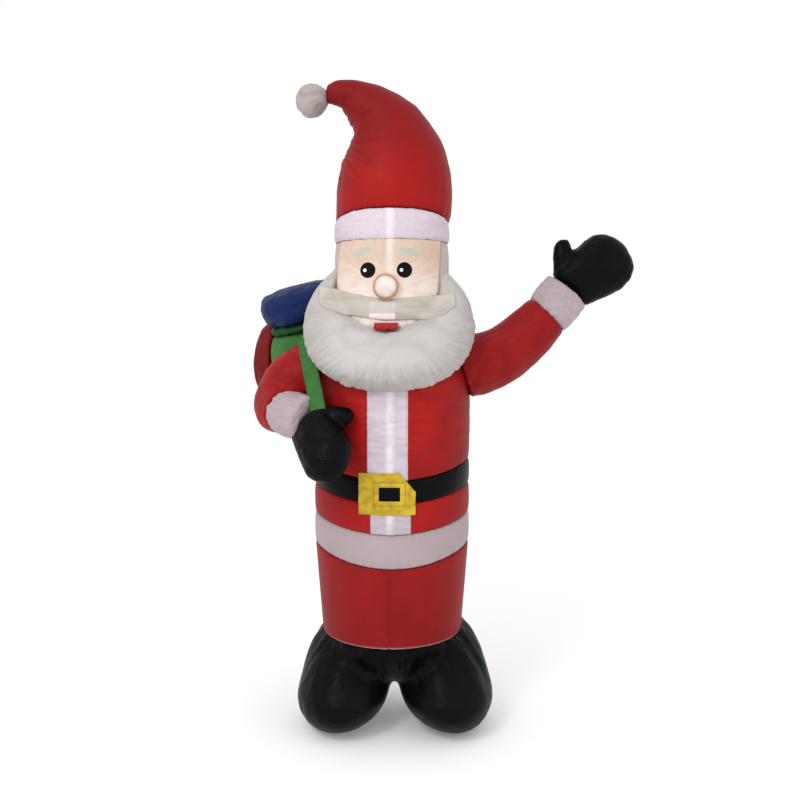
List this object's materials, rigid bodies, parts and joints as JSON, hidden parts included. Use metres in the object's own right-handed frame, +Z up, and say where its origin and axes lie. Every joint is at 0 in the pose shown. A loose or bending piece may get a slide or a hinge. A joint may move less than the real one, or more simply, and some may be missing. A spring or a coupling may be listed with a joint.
{
  "type": "inflatable santa with sack",
  "caption": "Upright air-filled cloth santa that waves with its left arm and holds the strap of a sack on its back with its right hand.",
  "frame": {"origin": "on the ground, under the middle of the whole figure's bounding box", "axes": "+Z up, the figure faces -Y, and its waving arm reaches towards +X"},
  "size_m": [1.1214, 0.7226, 1.8014],
  "materials": {
    "red_cloth": "coated polyester, slightly glossy",
    "white_cloth": "coated polyester, slightly glossy",
    "black_cloth": "coated polyester, slightly glossy",
    "skin_cloth": "thin polyester, lets light through",
    "green_cloth": "coated polyester, slightly glossy",
    "dark_green_cloth": "coated polyester, slightly glossy",
    "blue_cloth": "coated polyester, slightly glossy",
    "dark_red_cloth": "gathered polyester",
    "yellow_sheet": "smooth coated cloth",
    "beard_cloth": "wrinkled polyester",
    "moustache_cloth": "wrinkled polyester"
  },
  "bodies": {
    "root": {"boots": "black_cloth", "coat_skirt": "red_cloth", "trim_band": "white_cloth", "coat_waist": "red_cloth", "belt": "black_cloth", "coat_chest": "red_cloth", "placket_chest": "white_cloth", "placket_waist": "white_cloth", "buckle": "yellow_sheet", "head": "white_cloth", "face_panel": "skin_cloth", "headband": "white_cloth", "hat": "red_cloth", "pompom": "white_cloth", "beard": "beard_cloth", "moustache": "moustache_cloth", "nose": "skin_cloth", "lip": "red_cloth", "sleeve_waving": "red_cloth", "cuff_waving": "white_cloth", "mitten_waving": "black_cloth", "sleeve_holding": "red_cloth", "cuff_holding": "white_cloth", "mitten_holding": "black_cloth", "sack": "green_cloth", "sack_collar": "dark_green_cloth", "gift": "blue_cloth", "sack_back": "dark_red_cloth", "strap": "green_cloth"}
  },
  "joints": []
}
